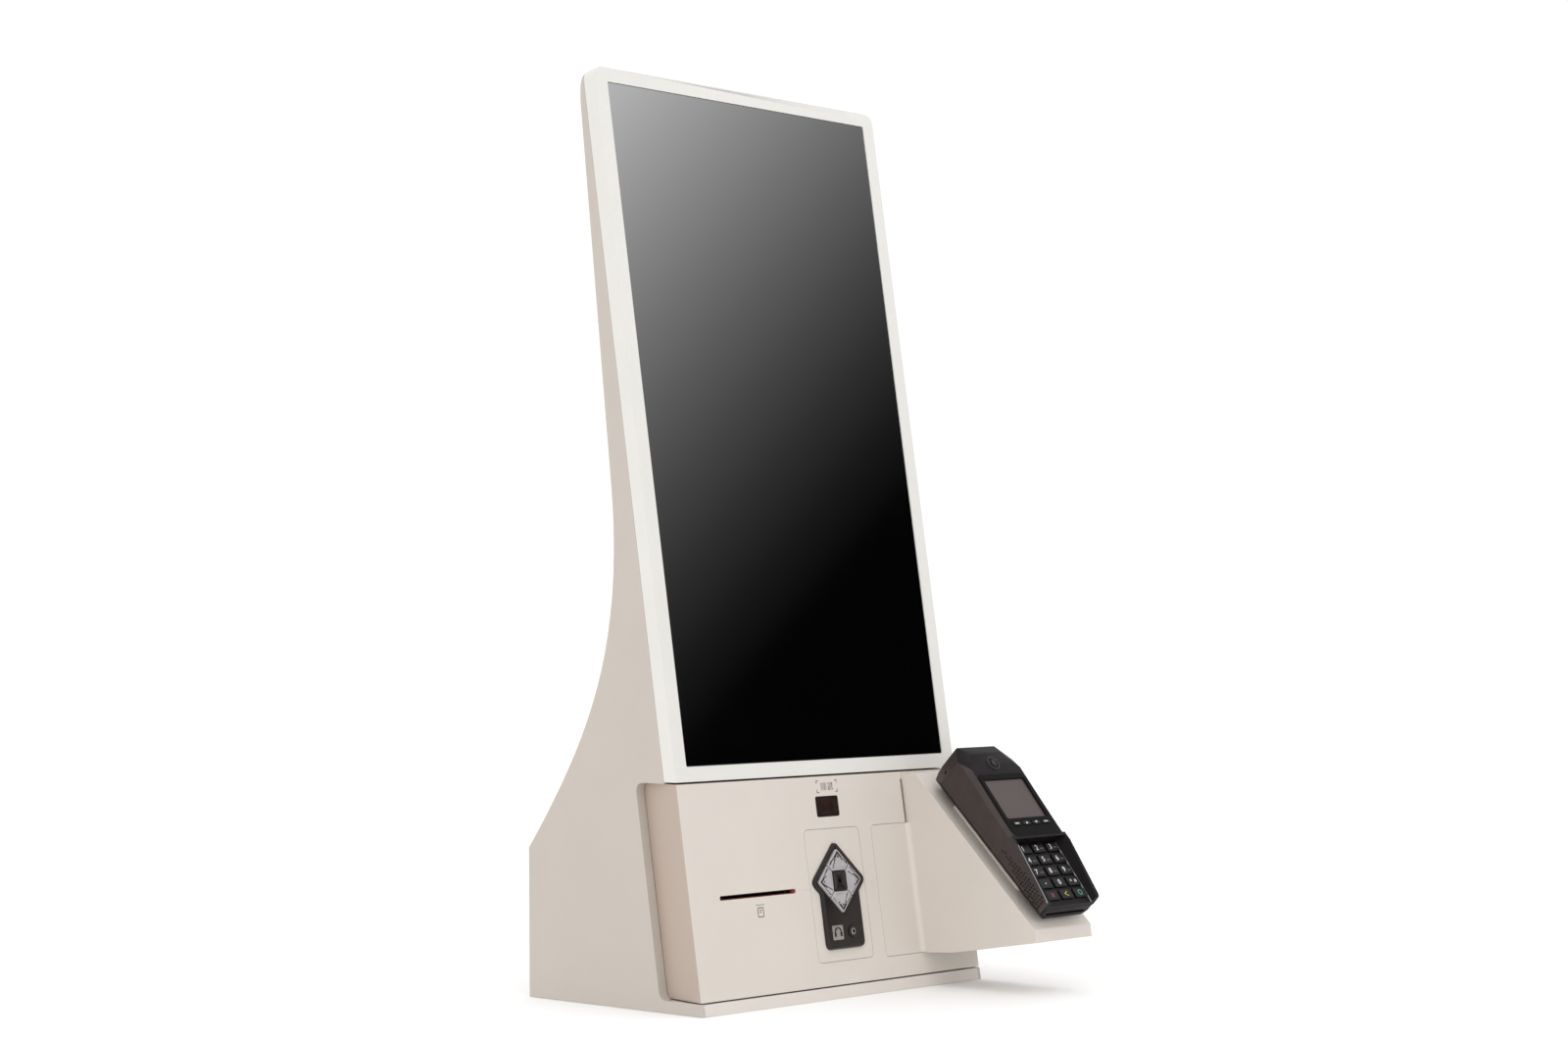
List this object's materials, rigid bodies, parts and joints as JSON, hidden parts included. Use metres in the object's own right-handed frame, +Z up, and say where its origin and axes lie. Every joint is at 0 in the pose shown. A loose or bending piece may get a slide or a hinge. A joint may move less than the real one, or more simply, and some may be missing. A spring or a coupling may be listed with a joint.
{
  "type": "touchscreen kiosk",
  "caption": "Counter-top self-service kiosk: tall leaning touchscreen, hinged service door with scanner, receipt slot and navigation keys, payment terminal on an arm.",
  "frame": {"origin": "centre of the rectangular footprint, on the counter surface", "axes": "+Z up, the screen faces -Y, +X to the viewer's right when facing the screen"},
  "size_m": [0.3761, 0.3485, 0.8165],
  "materials": {
    "body_paint": "fine satin texture",
    "door_paint": "fine satin texture",
    "base_paint": "satin",
    "bezel_paint": "satin",
    "screen_glass": "gloss",
    "steel": "satin",
    "black_metal": "satin black",
    "bare_aluminium": "satin",
    "display_housing": "satin",
    "rubber": "matt",
    "black_plastic": "semi-gloss",
    "grey_plastic": "satin",
    "nav_key_plastic": "satin",
    "terminal_plastic": "fine texture",
    "display_glass": "semi-gloss",
    "smoked_glass": "gloss",
    "paper": "uncoated"
  },
  "bodies": {
    "cabinet": {"base_plate": "base_paint", "foot_strip_front": "rubber", "foot_strip_rear": "rubber", "side_shell_left": "body_paint", "side_shell_right": "body_paint", "rear_cover": "body_paint", "cable_panel": "body_paint", "connector_panel": "body_paint", "screen_bezel": "bezel_paint", "touch_glass": "screen_glass", "lcd_module": "display_housing", "display_chassis": "steel", "computer_module": "black_metal", "power_supply": "bare_aluminium", "power_inlet": "black_plastic", "audio_speaker": "black_plastic", "printer_body": "black_plastic", "hinge_pin_lower": "steel", "hinge_pin_upper": "steel", "door_catch": "steel"},
    "door": {"door_shell": "door_paint", "scanner_window": "smoked_glass", "scanner_module": "black_plastic", "keypad_plate": "door_paint", "keypad_housing": "black_plastic", "audio_socket": "black_plastic", "bracket_arm": "door_paint", "adapter_plate": "door_paint", "terminal_lower_case": "terminal_plastic", "terminal_upper_case": "terminal_plastic", "terminal_display": "display_glass"},
    "power_switch": {"power_switch": "black_plastic"},
    "printer_lid": {"printer_lid": "grey_plastic"},
    "platen_roller": {"platen_roller": "rubber"},
    "paper_roll": {"paper_roll": "paper"},
    "nav_key_up": {"nav_key_up": "nav_key_plastic"},
    "nav_key_left": {"nav_key_left": "nav_key_plastic"},
    "nav_key_down": {"nav_key_down": "nav_key_plastic"},
    "nav_key_right": {"nav_key_right": "nav_key_plastic"},
    "nav_key_centre": {"nav_key_centre": "black_plastic"},
    "terminal_key_1": {"terminal_key_1": "terminal_plastic"},
    "terminal_key_2": {"terminal_key_2": "terminal_plastic"},
    "terminal_key_3": {"terminal_key_3": "terminal_plastic"},
    "terminal_key_4": {"terminal_key_4": "terminal_plastic"},
    "terminal_key_5": {"terminal_key_5": "terminal_plastic"},
    "terminal_key_6": {"terminal_key_6": "terminal_plastic"},
    "terminal_key_7": {"terminal_key_7": "terminal_plastic"},
    "terminal_key_8": {"terminal_key_8": "terminal_plastic"},
    "terminal_key_9": {"terminal_key_9": "terminal_plastic"},
    "terminal_key_blank": {"terminal_key_blank": "terminal_plastic"},
    "terminal_key_0": {"terminal_key_0": "terminal_plastic"},
    "terminal_key_symbol": {"terminal_key_symbol": "terminal_plastic"},
    "terminal_key_cancel": {"terminal_key_cancel": "terminal_plastic"},
    "terminal_key_clear": {"terminal_key_clear": "terminal_plastic"},
    "terminal_key_enter": {"terminal_key_enter": "terminal_plastic"},
    "function_key_1": {"function_key_1": "terminal_plastic"},
    "function_key_2": {"function_key_2": "terminal_plastic"},
    "function_key_3": {"function_key_3": "terminal_plastic"},
    "function_key_4": {"function_key_4": "terminal_plastic"}
  },
  "joints": [
    {"name": "door_hinge", "type": "hinge", "parent": "cabinet", "child": "door", "pos_m": [0.1795, -0.0666, 0.1], "axis": [0, 0, 1], "range_deg": [0, 95]},
    {"name": "power_switch_rock", "type": "hinge", "parent": "cabinet", "child": "power_switch", "pos_m": [0.101, 0.099, 0.041], "axis": [-1, 0, 0], "range_deg": [0, 14]},
    {"name": "printer_lid_hinge", "type": "hinge", "parent": "cabinet", "child": "printer_lid", "pos_m": [-0.1, -0.0022, 0.1058], "axis": [-1, 0, 0], "range_deg": [0, 95]},
    {"name": "paper_roll_spin", "type": "hinge", "parent": "cabinet", "child": "paper_roll", "pos_m": [-0.1, -0.037, 0.072], "axis": [1, 0, 0], "continuous": true},
    {"name": "platen_roller_spin", "type": "hinge", "parent": "cabinet", "child": "platen_roller", "pos_m": [-0.1, -0.0734, 0.0986], "axis": [1, 0, 0], "continuous": true},
    {"name": "nav_key_up_press", "type": "slide", "parent": "door", "child": "nav_key_up", "axis": [0, 0.987, -0.1609], "range_m": [0, 0.0012], "stiffness_N_per_m": 800},
    {"name": "nav_key_left_press", "type": "slide", "parent": "door", "child": "nav_key_left", "axis": [0, 0.987, -0.1609], "range_m": [0, 0.0012], "stiffness_N_per_m": 800},
    {"name": "nav_key_down_press", "type": "slide", "parent": "door", "child": "nav_key_down", "axis": [0, 0.987, -0.1609], "range_m": [0, 0.0012], "stiffness_N_per_m": 800},
    {"name": "nav_key_right_press", "type": "slide", "parent": "door", "child": "nav_key_right", "axis": [0, 0.987, -0.1609], "range_m": [0, 0.0012], "stiffness_N_per_m": 800},
    {"name": "nav_key_centre_press", "type": "slide", "parent": "door", "child": "nav_key_centre", "axis": [0, 0.987, -0.1609], "range_m": [0, 0.0012], "stiffness_N_per_m": 800},
    {"name": "terminal_key_1_press", "type": "slide", "parent": "door", "child": "terminal_key_1", "axis": [0, 0.7819, -0.6234], "range_m": [0, 0.001], "stiffness_N_per_m": 600},
    {"name": "terminal_key_2_press", "type": "slide", "parent": "door", "child": "terminal_key_2", "axis": [0, 0.7819, -0.6234], "range_m": [0, 0.001], "stiffness_N_per_m": 600},
    {"name": "terminal_key_3_press", "type": "slide", "parent": "door", "child": "terminal_key_3", "axis": [0, 0.7819, -0.6234], "range_m": [0, 0.001], "stiffness_N_per_m": 600},
    {"name": "terminal_key_4_press", "type": "slide", "parent": "door", "child": "terminal_key_4", "axis": [0, 0.7819, -0.6234], "range_m": [0, 0.001], "stiffness_N_per_m": 600},
    {"name": "terminal_key_5_press", "type": "slide", "parent": "door", "child": "terminal_key_5", "axis": [0, 0.7819, -0.6234], "range_m": [0, 0.001], "stiffness_N_per_m": 600},
    {"name": "terminal_key_6_press", "type": "slide", "parent": "door", "child": "terminal_key_6", "axis": [0, 0.7819, -0.6234], "range_m": [0, 0.001], "stiffness_N_per_m": 600},
    {"name": "terminal_key_7_press", "type": "slide", "parent": "door", "child": "terminal_key_7", "axis": [0, 0.7819, -0.6234], "range_m": [0, 0.001], "stiffness_N_per_m": 600},
    {"name": "terminal_key_8_press", "type": "slide", "parent": "door", "child": "terminal_key_8", "axis": [0, 0.7819, -0.6234], "range_m": [0, 0.001], "stiffness_N_per_m": 600},
    {"name": "terminal_key_9_press", "type": "slide", "parent": "door", "child": "terminal_key_9", "axis": [0, 0.7819, -0.6234], "range_m": [0, 0.001], "stiffness_N_per_m": 600},
    {"name": "terminal_key_blank_press", "type": "slide", "parent": "door", "child": "terminal_key_blank", "axis": [0, 0.7819, -0.6234], "range_m": [0, 0.001], "stiffness_N_per_m": 600},
    {"name": "terminal_key_0_press", "type": "slide", "parent": "door", "child": "terminal_key_0", "axis": [0, 0.7819, -0.6234], "range_m": [0, 0.001], "stiffness_N_per_m": 600},
    {"name": "terminal_key_symbol_press", "type": "slide", "parent": "door", "child": "terminal_key_symbol", "axis": [0, 0.7819, -0.6234], "range_m": [0, 0.001], "stiffness_N_per_m": 600},
    {"name": "terminal_key_cancel_press", "type": "slide", "parent": "door", "child": "terminal_key_cancel", "axis": [0, 0.7819, -0.6234], "range_m": [0, 0.001], "stiffness_N_per_m": 600},
    {"name": "terminal_key_clear_press", "type": "slide", "parent": "door", "child": "terminal_key_clear", "axis": [0, 0.7819, -0.6234], "range_m": [0, 0.001], "stiffness_N_per_m": 600},
    {"name": "terminal_key_enter_press", "type": "slide", "parent": "door", "child": "terminal_key_enter", "axis": [0, 0.7819, -0.6234], "range_m": [0, 0.001], "stiffness_N_per_m": 600},
    {"name": "function_key_1_press", "type": "slide", "parent": "door", "child": "function_key_1", "axis": [0, 0.6976, -0.7165], "range_m": [0, 0.001], "stiffness_N_per_m": 600},
    {"name": "function_key_2_press", "type": "slide", "parent": "door", "child": "function_key_2", "axis": [0, 0.6976, -0.7165], "range_m": [0, 0.001], "stiffness_N_per_m": 600},
    {"name": "function_key_3_press", "type": "slide", "parent": "door", "child": "function_key_3", "axis": [0, 0.6976, -0.7165], "range_m": [0, 0.001], "stiffness_N_per_m": 600},
    {"name": "function_key_4_press", "type": "slide", "parent": "door", "child": "function_key_4", "axis": [0, 0.6976, -0.7165], "range_m": [0, 0.001], "stiffness_N_per_m": 600}
  ],
  "couplings": [
    {"joint": "platen_roller_spin", "follows": "paper_roll_spin", "ratio": -5.6}
  ]
}
